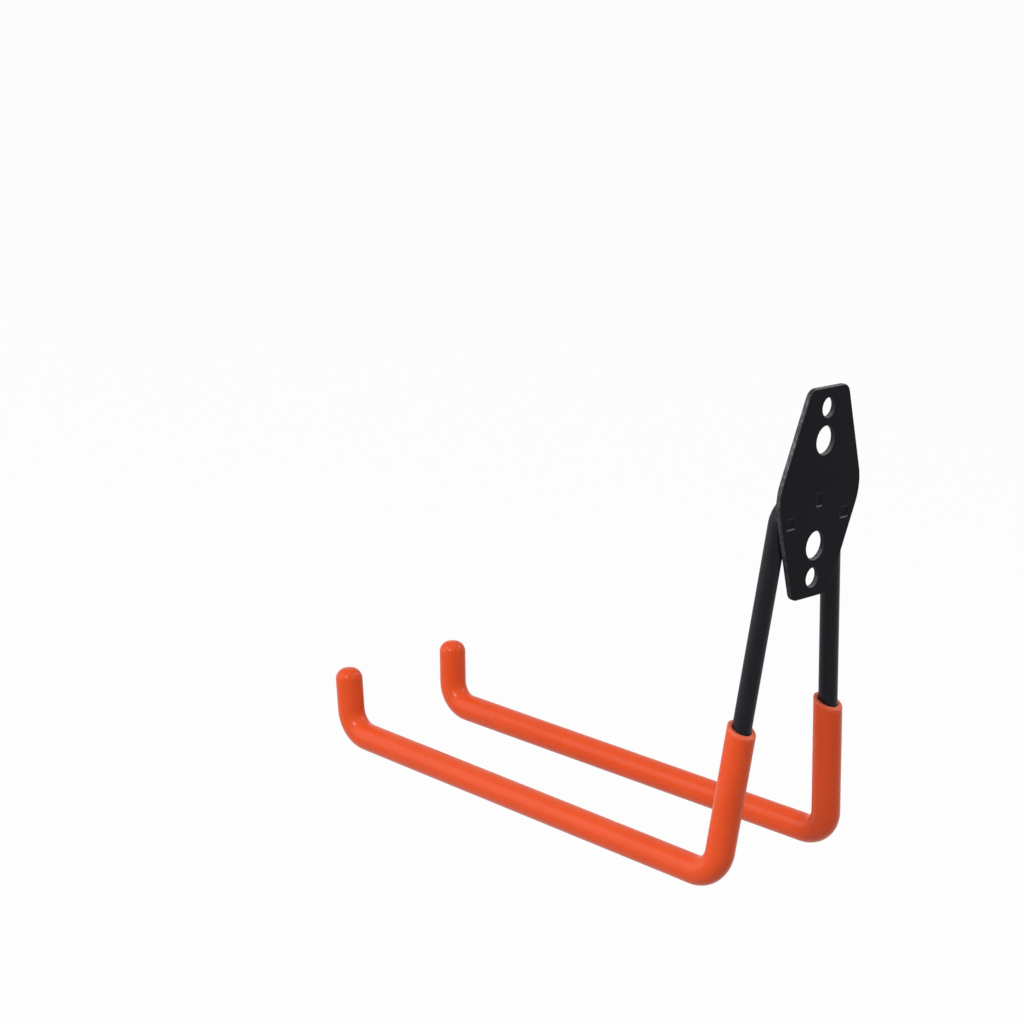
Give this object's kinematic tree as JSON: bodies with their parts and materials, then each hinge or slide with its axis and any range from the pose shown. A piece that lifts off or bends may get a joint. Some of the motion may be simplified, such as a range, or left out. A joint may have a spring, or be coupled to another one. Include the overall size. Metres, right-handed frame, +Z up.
{
  "type": "garage utility hook",
  "caption": "Wall-mounted utility hook: a waisted steel plate, a bent round bar welded to it that forms long arms with upturned tips, and soft sleeves over the arms.",
  "frame": {"origin": "middle of the plate's wall face, halfway between the holes", "axes": "+Y into the wall, +Z up, arms reach out along -Y, +X to the right of a person who faces the hook"},
  "size_m": [0.0858, 0.2297, 0.2058],
  "materials": {
    "plate_coating": "black powder coat, satin, on stamped steel",
    "rod_coating": "black powder coat, satin, on round steel bar",
    "sleeve_vinyl": "orange soft vinyl, satin and smooth"
  },
  "bodies": {
    "root": {"back_plate": "plate_coating", "hook_rod": "rod_coating", "grip_sleeve_left": "sleeve_vinyl", "grip_sleeve_right": "sleeve_vinyl"}
  },
  "joints": []
}
